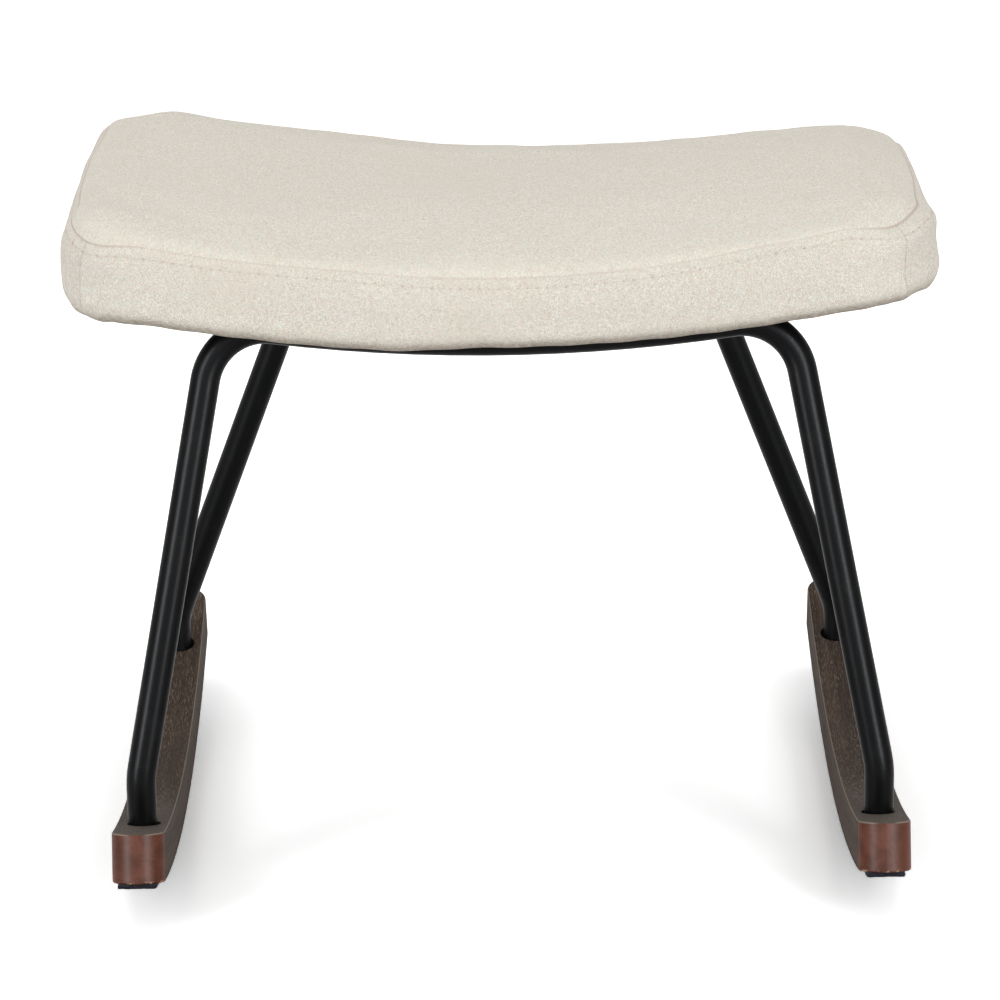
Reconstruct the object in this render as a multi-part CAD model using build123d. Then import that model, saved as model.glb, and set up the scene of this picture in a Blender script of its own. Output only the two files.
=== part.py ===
from build123d import *
import os
from math import asin, atan2, cos, degrees, radians, sin, sqrt

os.makedirs("parts", exist_ok=True)

# ---------------------------------------------------------------- sizes, mm
# seat
seat_width = 556.0
seat_depth = 370.0
seat_under = 368.4          # lowest line of the underside, above the floor
saddle_radius = 1130.0      # underside of the seat, concave upwards
plan_corner = 46.0          # corner of the seat seen from above
boxing_height = 41.0        # underside to the seam of the top panel
edge_height = 48.0          # underside to the edge of the top, before rounding
crown = 7.0
top_round = 18.0
bottom_round = 16.0
cloth = 1.2
board_thick = 12.0
hem_width = 22.0

# bent tube hoops
tube_dia = 19.0
tube_wall = 1.5
bar_inset = 55.0            # middle of a cross bar, in from the front or back edge of the seat
front_half_top = 183.0      # half width where leg and cross bar would meet
rear_half_top = 127.0
front_knee = 88.0           # height of the lower bend
rear_knee = 73.0
upper_bend = 39.0           # centre-line radii
lower_bend = 46.0

# rockers
rocker_length = 496.0
rocker_spacing = 474.0
rocker_width = 34.0
rocker_thick = 32.0
rocker_radius = 880.0
rocker_nose = 16.6          # rounding of the upright end corners
rocker_ease = 1.0
front_hole = 188.0          # leg holes, before and behind the middle
rear_hole = 166.0
hole_inset = 0.8            # the holes sit a little towards the inner side
sink_depth = 8.8            # counterbore in the sole, at the bolt
web = 8.0                   # wood left between counterbore and leg
felt_thick = 3.0
felt_width = 25.0
felt_setback = 1.5

# fasteners
leg_bolt_dia = 8.0
leg_head_dia = 14.0
leg_head_high = 4.2
leg_washer_dia = 18.0
leg_washer_thick = 1.6
insert_length = 20.0
seat_bolt_dia = 6.0
seat_head_dia = 11.0
seat_head_high = 3.2
seat_washer_dia = 14.0
seat_washer_thick = 1.2
tnut_flange_dia = 18.0
tnut_flange_thick = 1.4
tnut_barrel_dia = 8.0
tnut_barrel_length = 9.0

# flat straps between the cross bars
strap_offset = 70.0         # left and right of the middle
strap_width = 25.0
strap_thick = 3.0
strap_lap = 5.0             # from the bar's centre line to the end of the strap
strap_bolt_offset = 82.0    # before and behind the middle

# clearances
socket_clear = 3.0          # leg in its hole, on the diameter
bolt_clear = 0.6
counterbore_clear = 2.0
bar_clear = 0.2             # cross bar under the seat

# ------------------------------------------------------------- tied values
saddle_z = seat_under + saddle_radius
rocker_z = felt_thick + rocker_radius
tube_rad = tube_dia / 2
bore_rad = tube_rad - tube_wall
bar_radius = saddle_radius + bar_clear + tube_rad
bar_z = saddle_z - bar_radius
leg_x = rocker_spacing / 2
rocker_top = rocker_radius - rocker_thick
half_w = seat_width / 2
half_d = seat_depth / 2
bar_offset = half_d - bar_inset
saddle_axis = Axis((0, 0, saddle_z), (0, 1, 0))


def counterbore_top(hole):
    """Height of the counterbore's floor in the sole, for a leg hole this far from the middle."""
    return rocker_z - sqrt(rocker_radius**2 - hole**2) + sink_depth


def socket_floor(hole):
    """Height at which a leg stands in its socket."""
    return counterbore_top(hole) + web


def save(name, shape):
    """Write one node."""
    shape.label = name
    export_step(shape, "parts/" + name + ".step")


def group(solids):
    """Like pieces that share one node."""
    return Compound(children=list(solids))


# ------------------------------------------------------------ seat, soft form
def saddle_block(inset_side, z_low, z_edge, rise, corner):
    """Block bent to the saddle; heights are measured up from the underside."""
    hw = half_w - inset_side
    hd = half_d - inset_side
    low = seat_under + z_low
    edge = seat_under + z_edge
    outline = Polyline((0, -hd, edge), (0, -hd, low), (0, hd, low), (0, hd, edge))
    if rise > 0:
        lid = ThreePointArc((0, hd, edge), (0, 0, edge + rise), (0, -hd, edge))
    else:
        lid = Line((0, hd, edge), (0, -hd, edge))
    face = make_face(outline + lid)
    swing = degrees(asin(hw / (saddle_radius - (z_low + z_edge) / 2)))
    start = face.rotate(saddle_axis, swing)
    block = revolve(start, axis=saddle_axis, revolution_arc=-2 * swing)
    upright = [e for e in block.edges() if is_corner(e, hd)]
    return fillet(upright, corner)


def is_corner(edge, hd):
    """Straight edges that run up the four corners."""
    a = edge @ 0
    b = edge @ 1
    same_depth = abs(a.Y - b.Y) < 0.01 and abs(abs(a.Y) - hd) < 0.01
    return same_depth and edge.geom_type == GeomType.LINE and abs(a.Z - b.Z) > 1


def pillow(inset):
    """The cushion form, or the same form a constant distance further in."""
    block = saddle_block(inset, inset, edge_height - inset, crown, plan_corner - inset)
    top_face = block.faces().filter_by(GeomType.TORUS).sort_by(SortBy.AREA)[-1]
    block = fillet(top_face.edges(), top_round - inset)
    low_radius = saddle_radius - inset
    under = [f for f in block.faces().filter_by(GeomType.CYLINDER) if is_under(f, low_radius)]
    return fillet(under[0].edges(), bottom_round - inset)


def is_under(face, radius):
    """The face that is bent to the given radius about the saddle axis."""
    p = face.center(CenterOf.BOUNDING_BOX)
    q = face.position_at(0.5, 0.5)
    return abs(sqrt(q.X**2 + (saddle_z - q.Z) ** 2) - radius) < 0.01 and abs(p.X) < 1


outer = pillow(0)
inner = pillow(cloth)
board_inset = bottom_round
dust_inset = bottom_round + hem_width
board = saddle_block(board_inset, cloth, cloth + board_thick, 0, plan_corner - board_inset)
dust_cover = saddle_block(dust_inset, 0, cloth, 0, plan_corner - board_inset)

cover = outer - inner - dust_cover
seam_drum = Pos(0, 0, saddle_z) * Rot(90, 0, 0) * Cylinder(saddle_radius - boxing_height, seat_depth * 2)
top_panel = cover & seam_drum
boxing = cover - seam_drum

corner_x = half_w - plan_corner
corner_y = half_d - plan_corner
reach = plan_corner * 3


def wedge_front(side):
    """Region of the front (side -1) or back (side 1) boxing between the corner seams."""
    pts = [
        (-corner_x, side * corner_y),
        (-corner_x - reach, side * (corner_y + reach)),
        (corner_x + reach, side * (corner_y + reach)),
        (corner_x, side * corner_y),
    ]
    return extrude(make_face(Polyline(*pts, close=True)), seat_under * 2)


def wedge_side(side):
    """Region of the left (side -1) or right (side 1) boxing between the corner seams."""
    pts = [
        (side * corner_x, -corner_y),
        (side * (corner_x + reach), -corner_y - reach),
        (side * (corner_x + reach), corner_y + reach),
        (side * corner_x, corner_y),
    ]
    return extrude(make_face(Polyline(*pts, close=True)), seat_under * 2)


boxing_front = boxing & wedge_front(-1)
boxing_back = boxing & wedge_front(1)
boxing_left = boxing & wedge_side(-1)
boxing_right = boxing & wedge_side(1)


# ------------------------------------------------------------------- hoops
def hoop(side, hole, half_top, knee):
    """Bent tube: two legs and a cross bar in one leaning plane, feet turned upright."""
    lean = atan2(hole - bar_offset, bar_z - knee)
    up = Vector(0, -side * sin(lean), cos(lean))
    base = Vector(0, side * hole, knee)
    arc_radius = bar_radius * cos(lean)
    bar_v = (bar_z - knee) / cos(lean)
    corner_v = bar_v + arc_radius - sqrt(arc_radius**2 - half_top**2)

    def at(u, v):
        return base + Vector(u, 0, 0) + up * v

    knee_r = at(leg_x, 0)
    knee_l = at(-leg_x, 0)
    top_r = at(half_top, corner_v)
    leg_dir = (knee_r - top_r).normalized()
    foot_turn = leg_dir.get_angle(Vector(0, 0, -1))
    foot_cut = lower_bend * sin(radians(foot_turn)) / (1 + cos(radians(foot_turn)))

    # bend between leg and cross bar, tangent to both
    leg_normal = Vector(-leg_dir.dot(up), 0, 0) + up * leg_dir.X
    if leg_normal.X > 0:
        leg_normal = leg_normal * -1
    rail = top_r + leg_normal * upper_bend
    hub = at(0, bar_v + arc_radius)
    gap = rail - hub
    far = arc_radius + upper_bend
    b = gap.dot(leg_dir)
    c = gap.dot(gap) - far**2
    step = -b + sqrt(b**2 - c)
    bend_centre = rail + leg_dir * step
    bend_leg = bend_centre - leg_normal * upper_bend
    bend_bar = bend_centre + (hub - bend_centre).normalized() * upper_bend
    mirror_bar = Vector(-bend_bar.X, bend_bar.Y, bend_bar.Z)
    mirror_leg = Vector(-bend_leg.X, bend_leg.Y, bend_leg.Z)

    foot_in_r = knee_r - leg_dir * foot_cut
    foot_out_r = knee_r - Vector(0, 0, foot_cut)
    foot_in_l = Vector(-foot_in_r.X, foot_in_r.Y, foot_in_r.Z)
    foot_out_l = Vector(-foot_out_r.X, foot_out_r.Y, foot_out_r.Z)
    end_r = Vector(knee_r.X, knee_r.Y, socket_floor(hole))
    end_l = Vector(knee_l.X, knee_l.Y, socket_floor(hole))
    left_dir = Vector(-leg_dir.X, leg_dir.Y, leg_dir.Z)

    path = Wire(
        [
            Edge.make_line(end_r, foot_out_r),
            Edge.make_tangent_arc(foot_out_r, Vector(0, 0, 1), foot_in_r),
            Edge.make_line(foot_in_r, bend_leg),
            Edge.make_tangent_arc(bend_leg, leg_dir * -1, bend_bar),
            Edge.make_three_point_arc(bend_bar, at(0, bar_v), mirror_bar),
            Edge.make_tangent_arc(mirror_leg, left_dir * -1, mirror_bar),
            Edge.make_line(mirror_leg, foot_in_l),
            Edge.make_tangent_arc(foot_out_l, Vector(0, 0, 1), foot_in_l),
            Edge.make_line(foot_out_l, end_l),
        ]
    )
    start = Plane(origin=end_r, z_dir=(0, 0, 1))
    skin = sweep(start * Circle(tube_rad), path=path)
    bore = sweep(start * Circle(bore_rad), path=path)
    return skin - bore, skin


# ------------------------------------------------- straps and seat fasteners
def under_seat(x, y):
    """Frame just under the seat, its Z square to the saddle."""
    radius = saddle_radius + bar_clear
    tilt = asin(x / radius)
    return Location((x, y, saddle_z - radius * cos(tilt)), (0, -degrees(tilt), 0))


def pin(place, radius, low, high):
    """Upright cylinder in a local frame."""
    return place * Pos(0, 0, (low + high) / 2) * Cylinder(radius, high - low)


bolt_places = [
    under_seat(x, y)
    for x in (-strap_offset, strap_offset)
    for y in (-strap_bolt_offset, strap_bolt_offset)
]
board_top = bar_clear + cloth + board_thick
washer_under = -strap_thick - seat_washer_thick


def seat_strap(side, cutters):
    """Flat bar welded between the two cross bars, holed for the seat bolts."""
    length = 2 * (bar_offset - strap_lap)
    place = under_seat(side * strap_offset, 0) * Pos(0, 0, -strap_thick / 2)
    strap = place * Box(strap_width, length, strap_thick)
    return strap - cutters


def seat_bolt(place):
    """Button head under the strap, shank up into the tee nut."""
    shank = pin(place, seat_bolt_dia / 2, washer_under, board_top - 1)
    head = pin(place, seat_head_dia / 2, washer_under - seat_head_high, washer_under)
    rim = head.edges().filter_by(GeomType.CIRCLE).sort_by(lambda e: e.center().Z)[0]
    head = fillet(rim, seat_head_high * 0.5)
    return shank + head


def seat_washer(place):
    """Flat washer under the strap."""
    disc = pin(place, seat_washer_dia / 2, washer_under, -strap_thick)
    return disc - pin(place, seat_bolt_dia / 2 + bolt_clear / 2, washer_under, 0)


def tee_nut(place):
    """Flange on the board, barrel down into it."""
    flange = pin(place, tnut_flange_dia / 2, board_top, board_top + tnut_flange_thick)
    barrel = pin(place, tnut_barrel_dia / 2, board_top - tnut_barrel_length, board_top)
    hole = pin(place, seat_bolt_dia / 2, 0, board_top + tnut_flange_thick)
    return flange + barrel - hole


seat_bolts = [seat_bolt(p) for p in bolt_places]
seat_washers = [seat_washer(p) for p in bolt_places]
tee_nuts = [tee_nut(p) for p in bolt_places]
bolt_holes = [pin(p, seat_bolt_dia / 2 + bolt_clear / 2, washer_under, board_top) for p in bolt_places]
barrel_pins = [pin(p, tnut_barrel_dia / 2, 0, board_top) for p in bolt_places]
flange_pins = [pin(p, tnut_flange_dia / 2, board_top, board_top + tnut_flange_thick) for p in bolt_places]

front_hoop, front_rod = hoop(-1, front_hole, front_half_top, front_knee)
rear_hoop, rear_rod = hoop(1, rear_hole, rear_half_top, rear_knee)
left_strap = seat_strap(-1, [front_rod, rear_rod] + bolt_holes)
right_strap = seat_strap(1, [front_rod, rear_rod] + bolt_holes)
board = board - barrel_pins - flange_pins
dust_cover = dust_cover - bolt_holes
foam = inner - saddle_block(board_inset, cloth, cloth + board_thick, 0, plan_corner - board_inset)
foam = foam - flange_pins


# ------------------------------------------------------------------ rockers
def runner(radius_out, radius_in, width, half_angle):
    """Bar bent upwards at both ends, square cut across its curve."""
    a = radians(half_angle)

    def on(radius, angle):
        return (0, radius * sin(angle), rocker_z - radius * cos(angle))

    edges = [
        ThreePointArc(on(radius_out, -a), on(radius_out, 0), on(radius_out, a)),
        Line(on(radius_out, a), on(radius_in, a)),
        ThreePointArc(on(radius_in, a), on(radius_in, 0), on(radius_in, -a)),
        Line(on(radius_in, -a), on(radius_out, -a)),
    ]
    face = make_face(edges)
    return extrude(face, width / 2, dir=(1, 0, 0), both=True)


half_angle = degrees(asin(rocker_length / 2 / rocker_radius))
felt_angle = half_angle - degrees(felt_setback / rocker_radius)


def rocker(side):
    """One rocker with its two leg sockets and the bolt holes under them."""
    body = runner(rocker_radius, rocker_top, rocker_width, half_angle)
    ends = [e for e in body.edges().filter_by(GeomType.LINE) if abs((e @ 0).Z - (e @ 1).Z) > 5]
    body = fillet(ends, rocker_nose)
    rails = body.faces().filter_by(GeomType.CYLINDER).sort_by(SortBy.AREA)[-2:]
    body = fillet(rails[0].edges() + rails[1].edges(), rocker_ease)
    body = Pos(side * leg_x, 0, 0) * body
    x = side * leg_x
    for y in (-front_hole, rear_hole):
        floor = socket_floor(abs(y))
        socket = pin(Pos(x - side * hole_inset, y, 0), (tube_dia + socket_clear) / 2, floor, rocker_z / 4)
        hole = pin(Pos(x, y, 0), leg_bolt_dia / 2 + bolt_clear / 2, 0, floor + 1)
        sink = pin(Pos(x, y, 0), (leg_washer_dia + counterbore_clear) / 2, 0, counterbore_top(abs(y)))
        body = body - socket - hole - sink
    return body


def felt_strip(side):
    """Felt glued along the sole of a rocker."""
    strip = runner(rocker_radius + felt_thick, rocker_radius, felt_width, felt_angle)
    return Pos(side * leg_x, 0, 0) * strip


feet = [(x, y) for x in (-leg_x, leg_x) for y in (-front_hole, rear_hole)]


def leg_bolt(x, y):
    """Button head in the sole, shank up into the leg insert."""
    washer_low = counterbore_top(abs(y)) - leg_washer_thick
    shank = pin(Pos(x, y, 0), leg_bolt_dia / 2, washer_low, socket_floor(abs(y)) + insert_length - 4)
    head = pin(Pos(x, y, 0), leg_head_dia / 2, washer_low - leg_head_high, washer_low)
    rim = head.edges().filter_by(GeomType.CIRCLE).sort_by(Axis.Z)[0]
    head = fillet(rim, leg_head_high * 0.5)
    return shank + head


def leg_washer(x, y):
    """Flat washer under the wood web."""
    top = counterbore_top(abs(y))
    disc = pin(Pos(x, y, 0), leg_washer_dia / 2, top - leg_washer_thick, top)
    return disc - pin(Pos(x, y, 0), leg_bolt_dia / 2 + bolt_clear / 2, 0, top)


def leg_insert(x, y):
    """Tapped plug pressed into the end of a leg."""
    floor = socket_floor(abs(y))
    plug = pin(Pos(x, y, 0), bore_rad, floor, floor + insert_length)
    return plug - pin(Pos(x, y, 0), leg_bolt_dia / 2, 0, floor + insert_length)


# -------------------------------------------------------------------- write
save("cover_top_panel", top_panel)
save("cover_boxing_front", boxing_front)
save("cover_boxing_back", boxing_back)
save("cover_boxing_left", boxing_left)
save("cover_boxing_right", boxing_right)
save("foam_pad", foam)
save("seat_board", board)
save("dust_cover", dust_cover)
save("tee_nuts", group(tee_nuts))
save("seat_bolts", group(seat_bolts))
save("seat_washers", group(seat_washers))
save("left_seat_strap", left_strap)
save("right_seat_strap", right_strap)
save("front_leg_hoop", front_hoop)
save("rear_leg_hoop", rear_hoop)
save("leg_inserts", group(leg_insert(x, y) for x, y in feet))
save("leg_bolts", group(leg_bolt(x, y) for x, y in feet))
save("leg_washers", group(leg_washer(x, y) for x, y in feet))
save("left_rocker", rocker(-1))
save("right_rocker", rocker(1))
save("left_felt_strip", felt_strip(-1))
save("right_felt_strip", felt_strip(1))
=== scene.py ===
import math

import bpy
import numpy as np
from mathutils import Matrix, Vector


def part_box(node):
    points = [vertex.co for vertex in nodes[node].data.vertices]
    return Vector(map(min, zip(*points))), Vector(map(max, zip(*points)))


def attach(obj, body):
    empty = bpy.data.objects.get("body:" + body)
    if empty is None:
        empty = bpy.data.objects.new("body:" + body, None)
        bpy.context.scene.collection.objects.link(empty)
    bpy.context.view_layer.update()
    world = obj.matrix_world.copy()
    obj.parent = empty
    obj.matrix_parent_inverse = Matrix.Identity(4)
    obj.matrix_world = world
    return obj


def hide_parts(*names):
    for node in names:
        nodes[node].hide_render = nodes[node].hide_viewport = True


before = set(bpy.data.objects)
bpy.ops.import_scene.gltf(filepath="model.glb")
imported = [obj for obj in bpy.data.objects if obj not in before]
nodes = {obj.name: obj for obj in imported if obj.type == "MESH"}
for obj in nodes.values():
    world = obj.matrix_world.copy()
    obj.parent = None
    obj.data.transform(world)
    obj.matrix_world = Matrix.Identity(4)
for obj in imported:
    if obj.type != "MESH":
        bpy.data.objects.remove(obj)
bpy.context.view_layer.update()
scene = bpy.context.scene
rng = np.random.default_rng(11)
MM = 0.001
TAU = 2 * math.pi

# ------------------------------------------------------------------ camera
# lens, place and turn were found by fitting the photograph's outline
cam_data = bpy.data.cameras.new("camera")
cam_data.lens = 160.4
cam_data.sensor_width = 36.0
camera = bpy.data.objects.new("camera", cam_data)
scene.collection.objects.link(camera)
camera.matrix_world = (
    Matrix.Translation((-0.00371, -2.85324, 1.13715))
    @ Matrix.Rotation(math.radians(72), 4, "X")
    @ Matrix.Rotation(math.radians(-0.92), 4, "Z")
)
scene.camera = camera
scene.view_settings.view_transform = "Standard"


# the rockers' arc in the CAD part, in millimetres: height of its centre and radius of the sole
ROCKER_Z, SOLE_R = 883.0, 880.0


# --------------------------------------------------------------- materials
class Shade:
    """A node material, built socket by socket."""

    def __init__(self, name):
        self.mat = bpy.data.materials.new(name)
        self.mat.use_nodes = True
        self.tree = self.mat.node_tree
        self.bsdf = self.tree.nodes["Principled BSDF"]

    def put(self, socket, value):
        if isinstance(value, bpy.types.NodeSocket):
            self.tree.links.new(value, socket)
        elif hasattr(value, "__len__") and len(value) == 3 and socket.type == "RGBA":
            socket.default_value = (*value, 1)
        else:
            socket.default_value = value

    def set(self, **values):
        for name, value in values.items():
            self.put(self.bsdf.inputs[name.replace("_", " ")], value)

    def node(self, kind, **props):
        n = self.tree.nodes.new(kind)
        for k, v in props.items():
            setattr(n, k, v)
        return n

    def math(self, op, a, b=0.0, c=0.0):
        n = self.node("ShaderNodeMath", operation=op)
        for socket, value in zip(n.inputs, (a, b, c)):
            self.put(socket, value)
        return n.outputs[0]

    def mix(self, fac, a, b):
        n = self.node("ShaderNodeMix", data_type="RGBA")
        self.put(n.inputs[0], fac)
        self.put(n.inputs[6], a)
        self.put(n.inputs[7], b)
        return n.outputs[2]

    def step(self, value, low, high, to_low=0.0, to_high=1.0):
        """A smooth change from to_low to to_high while the value goes from low to high."""
        n = self.node("ShaderNodeMapRange", interpolation_type="SMOOTHSTEP")
        for socket, v in zip(n.inputs[:5], (value, low, high, to_low, to_high)):
            self.put(socket, v)
        return n.outputs[0]

    def place(self):
        return self.node("ShaderNodeTexCoord").outputs["Object"]

    def split(self, vector):
        n = self.node("ShaderNodeSeparateXYZ")
        self.put(n.inputs[0], vector)
        return n.outputs

    def join(self, x, y, z=0.0):
        n = self.node("ShaderNodeCombineXYZ")
        for socket, value in zip(n.inputs, (x, y, z)):
            self.put(socket, value)
        return n.outputs[0]

    def scaled(self, vector, factors):
        n = self.node("ShaderNodeVectorMath", operation="MULTIPLY")
        self.put(n.inputs[0], vector)
        n.inputs[1].default_value = factors
        return n.outputs[0]

    def noise(self, vector, scale, detail=2.0, rough=0.5, twist=0.0):
        n = self.node("ShaderNodeTexNoise")
        self.put(n.inputs["Vector"], vector)
        for name, v in (("Scale", scale), ("Detail", detail), ("Roughness", rough), ("Distortion", twist)):
            self.put(n.inputs[name], v)
        return n.outputs["Fac"]

    def grains(self, vector):
        """A random value for each cell of a unit Voronoi net."""
        n = self.node("ShaderNodeTexVoronoi", feature="F1")
        self.put(n.inputs["Vector"], vector)
        self.put(n.inputs["Scale"], 1.0)
        return self.split(n.outputs["Color"])[0]

    def cells(self, vector, scale):
        """The way to the nearest of randomly placed points."""
        n = self.node("ShaderNodeTexVoronoi", feature="F1")
        self.put(n.inputs["Vector"], vector)
        self.put(n.inputs["Scale"], scale)
        return n.outputs["Distance"]

    def wave(self, value, period, phase=0.0):
        """A sine of the given period, from 0 to 1."""
        turn = self.math("MULTIPLY_ADD", value, TAU / period, phase)
        return self.math("MULTIPLY_ADD", self.math("SINE", turn), 0.5, 0.5)

    def attribute(self, name):
        return self.node("ShaderNodeAttribute", attribute_name=name).outputs["Fac"]

    def uv(self, name):
        return self.node("ShaderNodeUVMap", uv_map=name).outputs["UV"]

    def normal(self):
        return self.split(self.node("ShaderNodeNewGeometry").outputs["Normal"])

    def bump(self, height, distance, strength=1.0, under=None):
        n = self.node("ShaderNodeBump")
        self.put(n.inputs["Height"], height)
        self.put(n.inputs["Distance"], distance)
        self.put(n.inputs["Strength"], strength)
        if under is not None:
            self.put(n.inputs["Normal"], under)
        return n.outputs["Normal"]


def tinted(tone, *factors):
    return tuple(c * k for c, k in zip(tone, factors))


def cloth_material(name, tone, twill_depth, grey, grain, nub, relief_shade_range):
    """Oatmeal twill: fine diagonal ribs, slubs along the yarns, pale and warm flecks, with painted shade in
    the seams, the stitch pits and along the lower edge.
    grain is the number of yarn grains in a metre along and across; nub is how much the smallest
    grains differ in lightness; relief_shade_range is the grains' contrast where the cloth stands and where
    it lies flat, painted stronger or weaker to stand in for the shading of the raised yarns."""
    m = Shade(name)
    cloth = m.uv("cloth")
    u, v, _ = m.split(cloth)
    wobble = m.math("MULTIPLY", m.noise(cloth, 420, 2), 0.0005)
    diagonal = m.math("ADD", m.math("MULTIPLY_ADD", v, -0.95, u), wobble)
    ribs = m.wave(diagonal, 0.00135)
    weft = m.math("MULTIPLY", m.wave(u, 0.00062), m.wave(v, 0.00066))
    floats = m.grains(m.scaled(cloth, (*grain, 1)))
    nubs = m.grains(m.scaled(cloth, (grain[0] * 1.3, grain[1] * 1.3, 1)))
    hue = m.grains(m.scaled(cloth, (grain[1] * 1.05, grain[0] * 1.05, 1)))
    _, _, rise = m.normal()
    # painted shade: the grains' contrast changes with which way the cloth faces, standing in for the light
    # on its raised yarns
    painted_relief_shade = m.step(rise, 0.93, 0.995, *relief_shade_range)
    warp_slub = m.noise(m.scaled(cloth, (900, 30, 1)), 1.0, 2, 0.5)
    weft_slub = m.noise(m.scaled(cloth, (30, 900, 1)), 1.0, 2, 0.5)
    fuzz = m.noise(cloth, 2600, 3, 0.7)
    cloud = m.noise(cloth, 16, 3, 0.55)
    level = m.math("MULTIPLY", m.math("SUBTRACT", floats, 0.5), 0.33)
    level = m.math("MULTIPLY_ADD", m.math("SUBTRACT", nubs, 0.5), nub, level)
    level = m.math("MULTIPLY_ADD", m.math("SUBTRACT", ribs, 0.5), 0.24, level)
    level = m.math("MULTIPLY_ADD", level, painted_relief_shade, 1.0)
    level = m.math("MULTIPLY_ADD", m.math("SUBTRACT", warp_slub, 0.5), 0.12, level)
    level = m.math("MULTIPLY_ADD", m.math("SUBTRACT", weft_slub, 0.5), 0.10, level)
    colour = m.mix(m.step(level, 0.6, 1.4), tinted(tone, 0.78, 0.73, 0.69), tinted(tone, 1.22, 1.24, 1.28))
    colour = m.mix(m.step(cloud, 0.35, 0.7, 0.0, 0.2), colour, grey)
    colour = m.mix(m.step(hue, 0.64, 0.94, 0.0, 0.85), colour, tinted(tone, 1.02, 0.92, 0.87))
    colour = m.mix(m.step(hue, 0.06, 0.36, 0.75, 0.0), colour, tinted(tone, 0.965, 1.03, 1.075))
    speck = m.step(m.cells(cloth, 260), 0.0, 0.22, 1, 0)
    speck = m.math("MULTIPLY", speck, m.step(m.noise(cloth, 34, 2), 0.56, 0.68))
    colour = m.mix(m.math("MULTIPLY", speck, 0.4), colour, (0.62, 0.46, 0.40))
    blush = m.step(m.noise(m.join(u, v, 3.7), 9, 2), 0.55, 0.78, 0.0, 0.3)
    colour = m.mix(blush, colour, tinted(tone, 1.0, 0.93, 0.9))
    # painted crease shade along the seam of the top panel and the corner seams; the gaps are in millimetres
    seam = m.math("ABSOLUTE", m.attribute("seam_gap"))
    from_middle = m.math("ABSOLUTE", m.split(m.place())[0])
    toward_end = m.step(from_middle, 0.205, 0.262, 0.36, 1.0)
    # painted shade in the crease of the top seam, stronger toward the ends
    line = m.math("MULTIPLY", m.step(seam, 0.1, 0.8, 1, 0), toward_end)
    colour = m.mix(m.math("MULTIPLY", line, 0.55), colour, (0.44, 0.31, 0.245))
    corner = m.math("ABSOLUTE", m.attribute("corner_gap"))
    # painted shade in the creases of the corner seams, broken up by noise
    broken = m.step(m.noise(m.join(u, v, 9.1), 420, 2), 0.42, 0.6, 0.2, 0.5)
    colour = m.mix(m.math("MULTIPLY", m.step(corner, 0.15, 0.8, 1, 0), broken), colour, (0.38, 0.29, 0.23))
    # line of stitching: painted shade in a pit at each end of a stitch, and a faint painted shade along the
    # stitches between
    stitch = m.attribute("stitch_gap")
    along = m.math("MULTIPLY", m.math("PINGPONG", u, PITCH / 2 * MM), 620)
    spot = m.math("SQRT", m.math("ADD", m.math("POWER", along, 2), m.math("POWER", stitch, 2)))
    faint = m.step(m.noise(m.join(u, 0.4, 2.2), 150, 2), 0.38, 0.62, 0.22, 1.0)
    at_end = m.step(from_middle, 0.12, 0.26)
    pit = m.math("MULTIPLY", m.step(spot, 0.15, 0.95, 1, 0), m.math("MULTIPLY_ADD", at_end, 0.1, 0.6))
    pit = m.math("MULTIPLY", pit, faint)
    stitch_line_shade = m.step(m.math("ABSOLUTE", stitch), 0.2, 0.7, 1, 0)
    stitch_line_shade = m.math("MULTIPLY", stitch_line_shade, m.math("MULTIPLY_ADD", at_end, 0.12, 0.09))
    colour = m.mix(m.math("MAXIMUM", pit, stitch_line_shade), colour, (0.44, 0.29, 0.235))
    # painted shade on the lower edge, where the cloth turns under, broken up by noise
    under = m.step(m.noise(cloth, 300, 3, 0.7), 0.3, 0.7, 0.45, 0.95)
    under = m.math("MULTIPLY", m.attribute("lower"), under)
    colour = m.mix(under, colour, (0.25, 0.185, 0.125))
    height = m.math("MULTIPLY_ADD", ribs, 1.2, m.math("MULTIPLY", weft, 0.35))
    height = m.math("MULTIPLY_ADD", fuzz, 0.6, height)
    height = m.math("MULTIPLY_ADD", floats, 0.35, height)
    fine = m.bump(height, twill_depth)
    crease = m.math("MULTIPLY", m.step(seam, 0.1, 0.9, -0.3, 0), toward_end)
    groove = m.math("MULTIPLY_ADD", pit, -0.5, crease)
    groove = m.math("ADD", groove, m.step(corner, 0.2, 1.2, -0.4, 0))
    m.set(
        Base_Color=colour,
        Roughness=m.step(fuzz, 0.2, 0.8, 0.78, 0.95),
        Normal=m.bump(groove, 0.0006, 1.0, fine),
    )
    m.set(Specular_IOR_Level=0.22, Sheen_Weight=0.16, Sheen_Roughness=0.45, Sheen_Tint=(1, 0.97, 0.92))
    return m.mat


def thread_material():
    """Two-ply thread in the tone of the cloth."""
    m = Shade("sewing_thread")
    at = m.place()
    x, y, z = m.split(at)
    twist = m.wave(m.math("ADD", m.math("ADD", x, y), m.math("MULTIPLY", z, 1.6)), 0.0009)
    tone = m.mix(twist, (0.62, 0.565, 0.49), (0.78, 0.735, 0.66))
    tone = m.mix(m.math("MULTIPLY", m.noise(at, 900, 2), 0.25), tone, (0.55, 0.47, 0.40))
    m.set(Base_Color=tone, Roughness=0.7, Normal=m.bump(twist, 0.0001))
    m.set(Specular_IOR_Level=0.3, Sheen_Weight=0.2)
    return m.mat


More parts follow.
